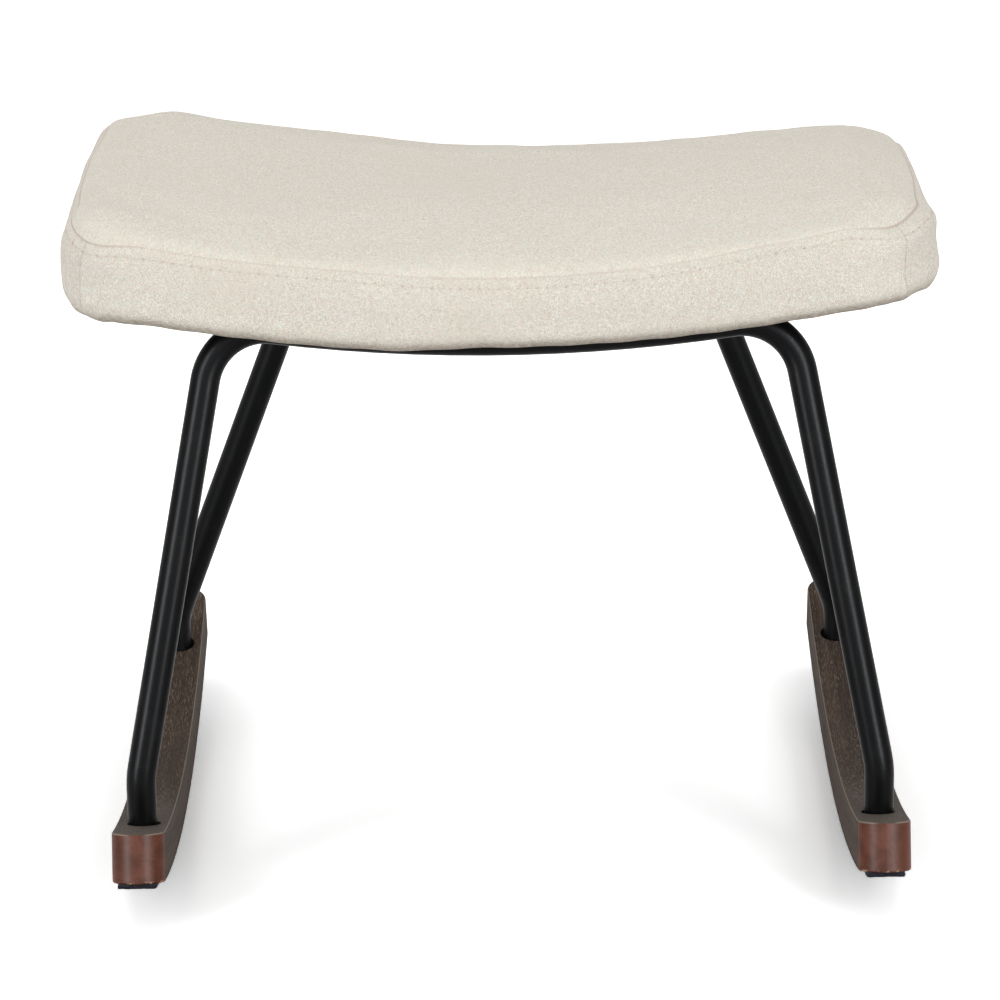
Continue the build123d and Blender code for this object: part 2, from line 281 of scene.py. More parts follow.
def painted_steel():
    """Black powder coat: satin, with a very fine orange peel and a trace of dust."""
    m = Shade("black_powder_coat")
    at = m.place()
    peel = m.noise(at, 900, 3, 0.55)
    dust = m.step(m.noise(at, 42, 4, 0.65), 0.5, 0.8)
    colour = m.mix(dust, (0.0030, 0.0031, 0.0033), (0.0075, 0.0075, 0.0078))
    rough = m.math("MULTIPLY_ADD", m.noise(at, 65, 3), 0.08, 0.31)
    m.set(Base_Color=colour, Roughness=rough, Normal=m.bump(peel, 0.00011, 0.55))
    m.set(Specular_IOR_Level=0.045, Specular_Tint=(0.95, 0.97, 1.0))
    return m.mat


def stained_wood():
    """Red-brown stained open-grain wood; the grain follows the curve of the rocker."""
    m = Shade("stained_open_grain_wood")
    at = m.place()
    x, y, z = m.split(at)
    nx, ny, nz = m.normal()
    drop = m.math("SUBTRACT", ROCKER_Z * MM, z)
    turn = m.math("ARCTAN2", y, drop)
    reach = m.math("SQRT", m.math("ADD", m.math("POWER", y, 2), m.math("POWER", drop, 2)))
    grain = m.join(x, m.math("MULTIPLY", turn, SOLE_R * MM), reach)
    band = m.noise(m.scaled(grain, (70, 3.2, 70)), 1.0, 3, 0.55, 0.6)
    streak = m.noise(m.scaled(grain, (650, 16, 650)), 1.0, 3, 0.6)
    pore_field = m.noise(m.scaled(grain, (2300, 150, 2300)), 1.0, 2, 0.5, 0.15)
    where = m.step(m.noise(m.scaled(grain, (90, 9, 90)), 1.0, 2), 0.3, 0.6, 0.3, 1.0)
    pores = m.math("MULTIPLY", m.step(pore_field, 0.55, 0.62), where)
    facing_up = m.step(nz, 0.5, 0.9)
    facing_end = m.step(m.math("ABSOLUTE", ny), 0.10, 0.22)
    facing_end = m.math("MULTIPLY", facing_end, m.step(m.math("ABSOLUTE", nz), 0.45, 0.75, 1, 0))
    facing_end = m.math("MULTIPLY", facing_end, m.step(m.math("ABSOLUTE", y), 0.222, 0.228))
    colour = m.mix(m.step(band, 0.3, 0.72), (0.028, 0.0165, 0.0112), (0.062, 0.0405, 0.0275))
    colour = m.mix(m.step(streak, 0.35, 0.75, 0, 0.5), colour, (0.080, 0.060, 0.045))
    # painted sheen: the top turns lighter and greyer toward the front end, where it reflects the light
    painted_top_sheen = m.math("MULTIPLY", m.step(y, -0.20, -0.06, 0.75, 0.0), facing_up)
    colour = m.mix(painted_top_sheen, colour, (0.110, 0.094, 0.080))
    # painted light: the end faces get a redder, brighter colour by which way they face, for the light they
    # catch; their stain is the same as on the sides
    end_face_lit_red = m.mix(m.step(band, 0.3, 0.7), (0.068, 0.0190, 0.0090), (0.125, 0.039, 0.022))
    colour = m.mix(facing_end, colour, end_face_lit_red)
    # pale dust in the pores and bare wood at the foot of the ends; a painted highlight along the upper
    # edges
    lime = m.math("MULTIPLY", pores, m.step(facing_up, 0, 1, 0.06, 0.52))
    colour = m.mix(lime, colour, (0.235, 0.185, 0.150))
    worn = m.step(m.noise(at, 230, 3, 0.7), 0.52, 0.62)
    foot = m.math("MULTIPLY", m.step(reach, (SOLE_R - 2.0) * MM, (SOLE_R - 0.7) * MM), facing_end)
    colour = m.mix(m.math("MULTIPLY", m.math("MULTIPLY", foot, worn), 0.85), colour, (0.42, 0.29, 0.17))
    # painted highlight on the eased upper edges, where they catch the light
    across = m.math("ABSOLUTE", nx)
    painted_edge_highlight = m.math("MULTIPLY", m.step(across, 0.2, 0.45), m.step(across, 0.85, 0.97, 1, 0))
    painted_edge_highlight = m.math("MULTIPLY", painted_edge_highlight, m.step(nz, 0.2, 0.5))
    colour = m.mix(m.math("MULTIPLY", painted_edge_highlight, 0.6), colour, (0.30, 0.26, 0.21))
    rough = m.math("MULTIPLY_ADD", streak, 0.10, m.step(facing_end, 0, 1, 0.70, 0.38))
    height = m.math("ADD", m.math("MULTIPLY", pores, -1.0), m.math("MULTIPLY", streak, 0.35))
    height = m.math("MULTIPLY", height, m.step(facing_end, 0, 1, 1.0, 0.12))
    ripple = m.noise(at, 90, 2, 0.5)
    normal = m.bump(height, 0.00018, 0.7, m.bump(ripple, 0.0003, 0.20))
    m.set(Base_Color=colour, Roughness=rough, Normal=normal)
    m.set(Specular_IOR_Level=0.085)
    return m.mat


def felt_material():
    """Dark blue-grey needled felt."""
    m = Shade("needled_felt")
    at = m.place()
    tuft = m.noise(at, 900, 4, 0.75, 0.8)
    blotch = m.noise(at, 120, 3)
    colour = m.mix(m.step(tuft, 0.3, 0.75), (0.009, 0.010, 0.016), (0.052, 0.057, 0.082))
    colour = m.mix(m.step(blotch, 0.45, 0.7, 0, 0.4), colour, (0.024, 0.024, 0.030))
    m.set(Base_Color=colour, Roughness=0.95, Normal=m.bump(tuft, 0.0007))
    m.set(Specular_IOR_Level=0.05, Sheen_Weight=0.08, Sheen_Roughness=0.6)
    return m.mat


def plated_steel():
    """Zinc-plated fasteners and staples."""
    m = Shade("zinc_plated_steel")
    at = m.place()
    brushed = m.noise(m.scaled(at, (900, 900, 120)), 1.0, 3, 0.6)
    bloom = m.noise(at, 260, 3, 0.6)
    colour = m.mix(m.step(bloom, 0.35, 0.7), (0.44, 0.44, 0.45), (0.62, 0.61, 0.58))
    m.set(Base_Color=colour, Metallic=1.0, Roughness=m.math("MULTIPLY_ADD", bloom, 0.25, 0.24))
    m.set(Normal=m.bump(brushed, 0.00008))
    return m.mat


def plywood():
    """Birch plywood: plies follow the saddle, so the edge shows light and dark lines."""
    m = Shade("birch_plywood")
    at = m.place()
    x, _, z = m.split(at)
    drop = m.math("SUBTRACT", (UNDER + SADDLE_R) * MM, z)
    reach = m.math("SQRT", m.math("ADD", m.math("POWER", x, 2), m.math("POWER", drop, 2)))
    ply = m.wave(reach, 0.003)
    figure = m.noise(m.scaled(at, (28, 260, 28)), 1.0, 4, 0.6, 1.2)
    colour = m.mix(m.step(ply, 0.42, 0.58), (0.40, 0.26, 0.15), (0.66, 0.50, 0.33))
    colour = m.mix(m.step(figure, 0.4, 0.7, 0, 0.45), colour, (0.52, 0.36, 0.21))
    m.set(Base_Color=colour, Roughness=0.62, Normal=m.bump(figure, 0.0003))
    return m.mat


def spunbond():
    """Black non-woven cloth with its pattern of small bonded dimples."""
    m = Shade("black_spunbond")
    at = m.place()
    x, y, _ = m.split(at)
    dimple = m.wave(m.math("ADD", x, y), 0.0021)
    dimple = m.math("MULTIPLY", dimple, m.wave(m.math("SUBTRACT", x, y), 0.0021))
    web = m.noise(at, 1500, 4, 0.8)
    colour = m.mix(m.step(dimple, 0.45, 0.8), (0.026, 0.026, 0.028), (0.011, 0.011, 0.012))
    colour = m.mix(m.step(web, 0.5, 0.75, 0, 0.45), colour, (0.055, 0.055, 0.058))
    height = m.math("SUBTRACT", m.math("MULTIPLY", web, 0.6), dimple)
    m.set(Base_Color=colour, Roughness=0.82, Normal=m.bump(height, 0.0004))
    m.set(Specular_IOR_Level=0.3)
    return m.mat


# ---------------------------------------------------------- cushion: sizes
# lengths in millimetres; s runs across the saddle, y to the back, h up from the underside
SADDLE_R = 1130.0  # of the underside
UNDER = 368.4  # height of the underside in the middle
HALF_S, HALF_Y, CORNER = 284.0, 185.0, 54.0  # rim: half width, half depth, corner radius
LOW_ROUND = 14.5  # radius of the lower edge
SEAM_H = 41.0  # seam of the top panel above the underside
STITCH_BELOW = 5.5  # line of stitching below that seam
TOP_RISE, TOP_RUN = 12.3, 30.0  # the top panel's rounded border
START_LEAN = math.radians(13)  # how far the top panel leans in where it leaves the seam
CROWN = 8.0  # more rise toward the middle
HEM_IN = 38.0  # the cover turns under by this much
PITCH_ABOUT = 6.2  # from stitch to stitch, before it is made to fit the rim
NX, NY = 116, 74  # net of the top panel
AROUND = 2 * (NX + NY)
HEM_RINGS = 6  # rings that lie on the board, before the lower edge turns up
CAP_IN = 0.9  # the closing face under the pad lies this far inside the hem
FAR = 60.0  # stands for "not near" in the gaps to seams and stitching
TOP_MAP = 2000.0  # the top panel's place in the cloth map, clear of the boxing
TOP, BOXING = 0, 1  # material numbers


def smooth(t):
    t = np.clip(t, 0, 1)
    return t * t * (3 - 2 * t)


def hill(t, at, width):
    return np.exp(-(((t - at) / width) ** 2))


def soft_noise(p, scale, seed):
    """Smooth random values, from about -1 to 1, at points given in millimetres."""
    r = np.random.default_rng(seed)
    out = np.zeros(len(p))
    for _ in range(10):
        way = r.normal(size=3)
        way *= TAU / scale * r.uniform(0.6, 1.4) / np.linalg.norm(way)
        out += np.sin(p @ way + r.uniform(0, TAU))
    return out / 3.2


def outline():
    """Rounded rectangle, from the front left corner round to the right.
    Gives its points, outward normals, arc lengths and whole length."""
    cx, cy = HALF_S - CORNER, HALF_Y - CORNER
    centres = [(-cx, -cy), (cx, -cy), (cx, cy), (-cx, cy)]
    eighth = CORNER * math.pi / 4
    pts, outs, arc = [], [], []
    run = 0.0
    belly = {1: -0.6, 3: 0.7}  # the right end is a little hollow, the left end a little full
    for k in range(4):
        a, b = np.array(centres[k]), np.array(centres[(k + 1) % 4])
        straight = float(np.linalg.norm(b - a))
        count = NX if k % 2 == 0 else NY
        total = 2 * eighth + straight
        middle = math.radians(270 + 90 * k)
        for i in range(count):
            d = total * i / count
            base, turn = a, middle
            if d < eighth:
                turn = middle - (eighth - d) / CORNER
            elif d < eighth + straight:
                base = a + (b - a) * (d - eighth) / straight
            else:
                base, turn = b, middle + (d - eighth - straight) / CORNER
            out = np.array([math.cos(turn), math.sin(turn)])
            along = (base[1] + CORNER * out[1]) / (HALF_Y - 18)
            swell = belly.get(k, 0) * max(0.0, 1 - along**2)
            pts.append(base + (CORNER + swell) * out)
            outs.append(out)
            arc.append(run + d)
        run += total
    return np.array(pts), np.array(outs), np.array(arc), run


rim, rim_out, rim_arc, rim_length = outline()
rim_s, rim_y = rim[:, 0], rim[:, 1]
PITCH = rim_length / round(rim_length / PITCH_ABOUT)
front = smooth((-rim_y / HALF_Y - 0.55) / 0.35)
side = smooth((np.abs(rim_s) / HALF_S - 0.8) / 0.2)

# the sewn seam wanders a little
seam_h = SEAM_H + front * (
    2.6 * hill(rim_s, -115, 62) + 0.6 * hill(rim_s, 100, 40) + 5.2 * hill(rim_s, 188, 62)
    + 2.0 * hill(rim_s, 226, 15) - 6.5 * hill(rim_s, -268, 22) - 3.0 * hill(rim_s, 262, 16)
)
seam_h += (1 - front) * 0.8 * np.sin(rim_arc / rim_length * TAU * 5 + 1.0)
ends = side * smooth(1.6 - np.abs(rim_y) / HALF_Y * 1.6)
on_left = smooth(-rim_s / 60)


def rim_spot(s, y, width):
    """1 at a spot of the rim, and less around it."""
    return hill(np.hypot(rim_s - s, rim_y - y), 0, width)


# how far the seam is drawn in from the rim
pin = 3.3 + ends * (-0.8 - 0.7 * on_left) + on_left * side * 3.5 * smooth((rim_y - 20) / 90)
pin += -3.0 * rim_spot(-272, -160, 46) + 3.5 * rim_spot(268, -168, 42)
pin += 3.2 * rim_spot(-284, -108, 40) + 3.0 * rim_spot(284, -118, 40)
# the boxing is fuller near the front right corner
puffed = rim_spot(276, -152, 42)


def profile():
    """Rings from the hem's inner edge, round the lower edge, up the boxing and over the top.
    Each is (offset out, height, name), with one offset and height for each point of the rim."""
    rings = []
    flat = 0 * rim_s
    for t in np.linspace(0, 1, HEM_RINGS):
        rings.append((-HEM_IN + (HEM_IN - LOW_ROUND) * t + flat, flat, "hem"))
    for t in np.linspace(0, 1, 7)[1:]:
        a = t * math.pi / 2
        o = -LOW_ROUND + LOW_ROUND * math.sin(a)
        rings.append((o + flat, LOW_ROUND * (1 - math.cos(a)) + flat, "low"))
    stitch_h = seam_h - STITCH_BELOW

    def wall(h):
        """Offset of the boxing at a height: drawn in toward the seam, and bellied below it."""
        t = np.clip((h - LOW_ROUND) / (seam_h - LOW_ROUND), 0, 1)
        late = 1 + 0.45 * side * (1 - on_left) + 0.4 * puffed
        full = 2.1 + 0.8 * ends + 2.9 * puffed
        return -pin * t ** (2.2 + 3.4 * puffed) + full * np.sin(math.pi * t**late)

    for t in np.linspace(0, 1, 6)[1:-1]:
        h = LOW_ROUND + (stitch_h - LOW_ROUND) * t
        rings.append((wall(h), h, "wall"))
    h = LOW_ROUND + (stitch_h - LOW_ROUND) * 0.93
    rings.append((wall(h), h, "wall"))
    rings.append((wall(stitch_h) - 0.35, stitch_h, "stitch"))
    for share, swell in ((0.72, 0.08), (0.42, 0.12), (0.17, 0.0)):
        h = seam_h - STITCH_BELOW * share
        rings.append((wall(h) + swell, h, "wall"))
    rings.append((-pin - 0.12 - 0.1 * side, seam_h, "seam"))
    top_h = SEAM_H + TOP_RISE
    for t in (0.03, 0.085, 0.16, 0.25, 0.35, 0.46, 0.58, 0.71, 0.85, 1.0):
        a = START_LEAN + t * (math.pi / 2 - START_LEAN)
        o = -pin - TOP_RUN * (math.cos(START_LEAN) - math.cos(a)) / math.cos(START_LEAN)
        o = o + 0.4 * math.sin(math.pi * min(1, t * 1.2))
        h = seam_h + (top_h - seam_h) * (math.sin(a) - math.sin(START_LEAN)) / (1 - math.sin(START_LEAN))
        rings.append((o, h, "top"))
    return rings


def grid_from_ring(ring):
    """Fills a closed ring of AROUND points with an NX by NY net of points, by column and row."""
    lower = ring[: NX + 1]
    right = ring[NX : NX + NY + 1]
    upper = ring[NX + NY : 2 * NX + NY + 1][::-1]
    left = np.concatenate([ring[2 * NX + NY :], ring[:1]])[::-1]
    u = np.linspace(0, 1, NX + 1)[:, None, None]
    v = np.linspace(0, 1, NY + 1)[None, :, None]
    out = (1 - v) * lower[:, None] + v * upper[:, None] + (1 - u) * left[None] + u * right[None]
    out -= (1 - u) * (1 - v) * ring[0] + u * (1 - v) * ring[NX]
    out -= u * v * ring[NX + NY] + (1 - u) * v * ring[2 * NX + NY]
    return out


def ring_index(i, j):
    """Place in the ring of a net point on the edge."""
    if j == 0:
        return i
    if i == NX:
        return NX + j
    if j == NY:
        return NX + NY + (NX - i)
    return (2 * NX + NY + (NY - j)) % AROUND


def wrap(s, y, h):
    """From saddle lengths to the frame's x, y, z."""
    turn = s / SADDLE_R
    r = SADDLE_R - h
    return np.stack([r * np.sin(turn), y, UNDER + SADDLE_R - r * np.cos(turn)], -1)


def to_corner(share):
    """Signed way along the rim to the nearest corner seam. share is 0 at the top seam and 1 at the
    hem: the front right corner seam isn't quite upright."""
    corner_arc = rim_arc[[0, NX, NX + NY, 2 * NX + NY]] + np.array([0, -6.5 - 8 * share, 0, 0])
    half = rim_length / 2
    from_each = np.array([(rim_arc - c + half) % rim_length - half for c in corner_arc])
    return from_each[np.abs(from_each).argmin(0), np.arange(AROUND)]


def ring_place(spot):
    """Column and row of the net for a place on its edge; the other way round from ring_index."""
    if spot <= NX:
        return spot, 0
    if spot <= NX + NY:
        return NX, spot - NX
    if spot <= 2 * NX + NY:
        return 2 * NX + NY - spot, NY
    return 0, AROUND - spot


def build_cushion():
    """The cover as one closed form: points in saddle lengths, faces, cloth maps, material
    numbers, the gaps that the cloth material reads, and the places of the named rings."""
    rings = profile()
    points, gap_seam, gap_stitch, gap_corner, low, fabric = [], [], [], [], [], []
    far = np.full(AROUND, FAR)
    names = [name for _, _, name in rings]
    seam_ring, stitch_ring = names.index("seam"), names.index("stitch")
    for k, (o, h, name) in enumerate(rings):
        s, y = rim_s + rim_out[:, 0] * o, rim_y + rim_out[:, 1] * o
        points.append(np.stack([s, y, h], -1))
        below = k < seam_ring
        on_wall = name in ("wall", "stitch", "seam")
        gap_seam.append(h - seam_h if on_wall else -far if below else 0 * far)
        gap_stitch.append(h - seam_h + STITCH_BELOW if on_wall else far)
        share = 1 - np.clip(h.mean() / SEAM_H, 0, 1)
        gap_corner.append(to_corner(share) if below or name == "seam" else far)
        # mask for the painted shade on the lower edge, where the cloth turns under
        low.append(1 - smooth((h - 1.6) / 7.5) if below else 0 * h)
    for k in range(seam_ring + 1, len(rings)):
        step = np.linalg.norm(points[k] - points[k - 1], axis=1)
        gap_seam[k] = gap_seam[k - 1] + step
    down = np.zeros(AROUND)
    for k in range(seam_ring, -1, -1):
        fabric.insert(0, np.stack([rim_arc, down], -1))
        down = down - (np.linalg.norm(points[k] - points[k - 1], axis=1) if k else 0)
    last = points[-1]
    spread_out = [last[:, :2] + rim_out * (gap_seam[-1] - gap)[:, None] for gap in gap_seam]
    count = len(rings)
    top = grid_from_ring(last)
    a0, b0 = np.abs(last[:, 0]).max(), np.abs(last[:, 1]).max()
    w = np.clip(1 - (np.abs(top[..., 0]) / a0) ** 4, 0, 1)
    w = w * np.clip(1 - (np.abs(top[..., 1]) / b0) ** 2.2, 0, 1)
    top[..., 2] += CROWN * smooth(w) ** 0.8

    coords = list(np.concatenate(points))
    number = {}
    for i in range(NX + 1):
        for j in range(NY + 1):
            if 0 < i < NX and 0 < j < NY:
                number[i, j] = len(coords)
                coords.append(top[i, j])
            else:
                number[i, j] = (count - 1) * AROUND + ring_index(i, j)
    first_cap = len(coords)
    cap = grid_from_ring(points[0] + np.array([0, 0, CAP_IN]))
    inner = {}
    for i in range(NX + 1):
        for j in range(NY + 1):
            inner[i, j] = len(coords)
            coords.append(cap[i, j])
    coords = np.array(coords)

    faces, maps, mats = [], [], []
    for k in range(count - 1):
        f0, f1 = (fabric[k], fabric[k + 1]) if k < seam_ring else (spread_out[k], spread_out[k + 1])
        for i in range(AROUND):
            n = (i + 1) % AROUND
            faces.append((k * AROUND + i, k * AROUND + n, (k + 1) * AROUND + n, (k + 1) * AROUND + i))
            if k < seam_ring:
                round_again = rim_length if n == 0 else 0
                here = [tuple(f[i]) for f in (f0, f1)]
                beyond = [(f[n][0] + round_again, f[n][1]) for f in (f0, f1)]
                maps.append([here[0], beyond[0], beyond[1], here[1]])
                mats.append(BOXING)
            else:
                maps.append([(p[0] + TOP_MAP, p[1]) for p in (f0[i], f0[n], f1[n], f1[i])])
                mats.append(TOP)
    for i in range(NX):
        for j in range(NY):
            faces.append((number[i, j], number[i + 1, j], number[i + 1, j + 1], number[i, j + 1]))
            maps.append([(coords[v][0] + TOP_MAP, coords[v][1]) for v in faces[-1]])
            mats.append(TOP)
    open_faces = len(faces)
    for i in range(NX):
        for j in range(NY):
            faces.append((inner[i, j], inner[i, j + 1], inner[i + 1, j + 1], inner[i + 1, j]))
            maps.append([(coords[v][0], coords[v][1]) for v in faces[-1]])
            mats.append(BOXING)
    for i in range(AROUND):
        n = (i + 1) % AROUND
        faces.append((n, i, inner[ring_place(i)], inner[ring_place(n)]))
        maps.append([(0, 0), (1, 0), (1, 1), (0, 1)])
        mats.append(BOXING)

    total = len(coords)

    def spread(values, rest):
        out = np.full(total, rest, float)
        out[: count * AROUND] = np.concatenate(values)
        return out

    data = {
        "seam_gap": spread(gap_seam, FAR),
        "stitch_gap": spread(gap_stitch, FAR),
        "corner_gap": spread(gap_corner, FAR),
        "lower": spread(low, 0.0),
    }
    marks = {"count": count, "seam": seam_ring, "stitch": stitch_ring, "open": open_faces, "cap": first_cap}
    return coords, faces, maps, mats, data, marks


coords, faces, maps, mats, marks_data, marks = build_cushion()
S, Y, H = coords.T.copy()
u, v = S / HALF_S, Y / HALF_Y
body = np.clip((H - 8) / (SEAM_H - 8), 0, 1)
is_cap = np.arange(len(coords)) >= marks["cap"]


def toward(su, sv):
    """1 at a corner and 0 at the middle; su and sv are its signs in u and v."""
    return np.clip(su * u, 0, 1) ** 2.5 * np.clip((sv * v + 0.3) / 1.3, 0, 1) ** 1.5


# the foam has settled unevenly: the rear right corner is lower than the rear left one
H = H + body * (13.0 * toward(-1, 1) - 31.0 * toward(1, 1) + 5.0 * toward(-1, -1) - 1.8 * toward(1, -1))
H = H + body * (-3.6 * np.clip(v, 0, 1) + 4.1 * np.clip(-v, 0, 1))
rear = np.clip(v, 0, 1) ** 1.3
H = H + body * rear * (6.2 * hill(S, -112, 78) - 9.5 * hill(S, -268, 27) - 2.6 * hill(S, 115, 95))
place = wrap(S, Y, H)
# the lower edge hangs over the board, most at the front left and the rear right
near_rim = smooth((np.maximum(np.abs(S) - HALF_S, np.abs(Y) - HALF_Y) + HEM_IN) / 24)
lip = np.where(is_cap, 0, 1 - smooth(H / 24)) * near_rim
hang_rear = np.where(is_cap, 0, 1 - smooth(coords[:, 2] / 24)) * near_rim * 11.0 * toward(1, 1)
low_left = 3.2 * smooth((-S - 10) / 60) * np.clip(-v, 0, 1)
high_right = 6.4 * smooth((S - 268) / 9) * smooth((v + 0.9) / 0.2)
hang_left = 8.0 * hill(np.hypot(S + 274, Y + 172), 0, 24)
hang_ends = 6.0 * np.clip(np.abs(u), 0, 1) ** 6
place[:, 2] -= lip * (2.6 + low_left + hang_left - high_right + hang_ends) + hang_rear
# the whole cover sits a little to the left and leans
place[:, 0] += np.where(is_cap, 0, smooth(H / 15)) * -2.4
place[:, 2] += np.where(is_cap, 0, body) * 2.0 * place[:, 0] / 278


def new_object(name, coords, faces, materials=()):
    me = bpy.data.meshes.new(name)
    me.from_pydata([tuple(c) for c in coords], [], faces)
    me.update()
    ob = bpy.data.objects.new(name, me)
    scene.collection.objects.link(ob)
    for m in materials:
        me.materials.append(m)
    return ob


def corners_out(points_mm, faces):
    """Outward unit normals at the points of a mesh."""
    p = np.asarray(points_mm)
    f = np.asarray(faces)
    n = np.cross(p[f[:, 2]] - p[f[:, 0]], p[f[:, 3]] - p[f[:, 1]])
    out = np.zeros_like(p)
    for k in range(4):
        np.add.at(out, f[:, k], n)
    return out / np.maximum(np.linalg.norm(out, axis=1)[:, None], 1e-9)


def evened(values, faces, rounds):
    """Averages values over neighbouring points, to take out the smallest wrinkles."""
    f = np.asarray(faces)
    a, b = f.ravel(), np.roll(f, -1, 1).ravel()
    share = np.bincount(a, minlength=len(values))[:, None] + np.bincount(b, minlength=len(values))[:, None]
    for _ in range(rounds):
        total = np.zeros_like(values)
        np.add.at(total, a, values[b])
        np.add.at(total, b, values[a])
        values = 0.5 * values + 0.5 * total / np.maximum(share, 1)
    return values


CLOTH_FRAMES = 20


def inflate(place, faces, hold, cap):
    """The cover as real cloth, blown up a little against its seams; returns the moved points.
    hold is 1 where a point stays, and cap is the furthest that each point may move."""
    ob = new_object("inflating", place * MM, faces)
    group = ob.vertex_groups.new(name="hold")
    hold = np.round(hold, 1)
    for level in np.unique(hold):
        if level > 0:
            group.add([int(i) for i in np.flatnonzero(hold == level)], float(level), "REPLACE")
    m = ob.modifiers.new("cloth", "CLOTH")
    c = m.settings
    c.quality = 5
    c.mass = 0.3
    c.tension_stiffness = c.compression_stiffness = 22
    c.shear_stiffness = 9
    c.bending_stiffness = 1.4
    c.vertex_group_mass = "hold"
    c.pin_stiffness = 1.0
    c.use_pressure = True
    c.uniform_pressure_force = 4.0
    c.shrink_min = -0.006
    c.effector_weights.gravity = 0
    m.collision_settings.use_collision = False
    m.collision_settings.use_self_collision = False
    m.point_cache.frame_start = 1
    m.point_cache.frame_end = CLOTH_FRAMES
    for f in range(1, CLOTH_FRAMES + 1):
        scene.frame_set(f)
    e = ob.evaluated_get(bpy.context.evaluated_depsgraph_get())
    moved = np.zeros(len(place) * 3, np.float32)
    e.data.vertices.foreach_get("co", moved)
    bpy.data.objects.remove(ob)
    scene.frame_set(1)
    shift = evened(moved.reshape(-1, 3) / MM - place, faces, 6)
    far = np.linalg.norm(shift, axis=1)[:, None]
    return place + shift * np.minimum(1, cap[:, None] / np.maximum(far, 1e-6))


outward = corners_out(place, faces)
seam_gap, corner_gap = marks_data["seam_gap"], marks_data["corner_gap"]
free = np.ones(len(place))
NO_RING = 999
ring_of = np.full(len(place), NO_RING)
ring_of[: marks["count"] * AROUND] = np.repeat(np.arange(marks["count"]), AROUND)
free[is_cap] = 0
free[ring_of < HEM_RINGS] = 0
free[ring_of == marks["seam"]] = 0.1
free[ring_of == marks["stitch"]] = 0.5
free[(ring_of >= HEM_RINGS) & (ring_of < HEM_RINGS + 4)] = 0.3
free *= 0.1 + 0.9 * smooth(np.abs(seam_gap) / 24)
room = outward * (1.6 * free)[:, None]  # left for the cloth to fill
live = marks["cap"]
cap = 0.25 + 4.6 * smooth(np.abs(seam_gap[:live]) / 34)
place -= room
place[:live] = inflate(place[:live], faces[: marks["open"]], 1 - free[:live], cap)

# slack, puckers and pulls of the real cover
p = place
ridge = free * (0.55 * soft_noise(p, 95, 3) + 0.25 * soft_noise(p, 38, 4))
near_seam = np.exp(-np.abs(seam_gap) / 6.0) * (seam_gap != 0)
arc_all = np.zeros(len(p))
arc_all[: marks["count"] * AROUND] = np.tile(rim_arc, marks["count"])
pucker = 0.10 * np.sin(arc_all / 11.3 * TAU + 2 * np.sin(arc_all / 47)) + 0.05 * np.sin(arc_all / 6.9 * TAU)
pucker = np.where(ring_of < NO_RING, near_seam * pucker, 0)
pulls = 0.252 * np.sin(arc_all / 33.0 * TAU + 1.5 * np.sin(arc_all / 70))
pulls = np.where((ring_of >= HEM_RINGS - 3) & (ring_of < HEM_RINGS + 8), pulls, 0)
corner_fold = 0.6 * hill(corner_gap, 0, 30) * np.cos(corner_gap / 7.5 * math.pi)
corner_fold = np.where((ring_of < HEM_RINGS + 7) & (free > 0), corner_fold, 0)
full_corner = 3.2 * hill(np.hypot(S - 279, Y + 156), 0, 32) * hill(H, 14, 9)
full_corner = np.where(is_cap, 0, full_corner)
place = p + outward * (ridge + pucker + pulls + corner_fold + full_corner)[:, None]

cloth_top = cloth_material(
    "cover_cloth_top", tone=(0.718, 0.683, 0.598), twill_depth=0.00014, grey=(0.70, 0.68, 0.62),
    grain=(1300, 800), nub=0.62, relief_shade_range=(0.70, 1.15),
)
cloth_boxing = cloth_material(
    "cover_cloth_boxing", tone=(0.712, 0.676, 0.594), twill_depth=0.00018, grey=(0.70, 0.672, 0.61),
    grain=(1640, 1450), nub=0.86, relief_shade_range=(1.05, 0.95),
)
cushion = new_object("seat_cushion", place * MM, faces, [cloth_top, cloth_boxing])
me = cushion.data
me.polygons.foreach_set("material_index", np.array(mats, np.int32))
layer = me.uv_layers.new(name="cloth")
layer.uv.foreach_set("vector", (np.array(maps, float).reshape(-1, 2) * MM).astype(np.float32).ravel())
for key, values in marks_data.items():
    a = me.attributes.new(key, "FLOAT", "POINT")
    a.data.foreach_set("value", values.astype(np.float32))


def bake_modifiers(ob):
    """Applies every modifier and smooths the shading."""
    dg = bpy.context.evaluated_depsgraph_get()
    shown = ob.evaluated_get(dg)
    made = bpy.data.meshes.new_from_object(shown, preserve_all_data_layers=True, depsgraph=dg)
    ob.modifiers.clear()
    ob.data = made
    made.name = ob.name
    made.shade_smooth()
    return ob


sub = cushion.modifiers.new("rounder", "SUBSURF")
sub.levels = sub.render_levels = 1
bake_modifiers(cushion)


# --------------------------------------------------------------- stitching
def ring_track(k):
    """Points and normals of one ring of the finished cushion."""
    first = k * AROUND
    verts = cushion.data.vertices
    pts = np.array([verts[first + i].co[:] for i in range(AROUND)])
    nrm = np.array([verts[first + i].normal[:] for i in range(AROUND)])
    return pts, nrm


def along_track(pts, nrm, arc, total, at):
    """Place, normal and direction at a given arc length."""
    at %= total
    i = int(np.searchsorted(arc, at, "right") - 1)
    n = (i + 1) % len(arc)
    end = arc[n] if n else total
    t = (at - arc[i]) / (end - arc[i])
    p = pts[i] * (1 - t) + pts[n] * t
    d = pts[n] - pts[i]
    m = nrm[i] * (1 - t) + nrm[n] * t
    return p, m / np.linalg.norm(m), d / np.linalg.norm(d)


def tube_faces(steps, sides):
    """Faces of a closed tube whose points come as steps rings of sides points each."""
    fs = []
    for i in range(steps - 1):
        for j in range(sides):
            n = (j + 1) % sides
            fs.append((i * sides + j, i * sides + n, (i + 1) * sides + n, (i + 1) * sides + j))
    fs.append(tuple(range(sides))[::-1])
    fs.append(tuple((steps - 1) * sides + j for j in range(sides)))
    return fs


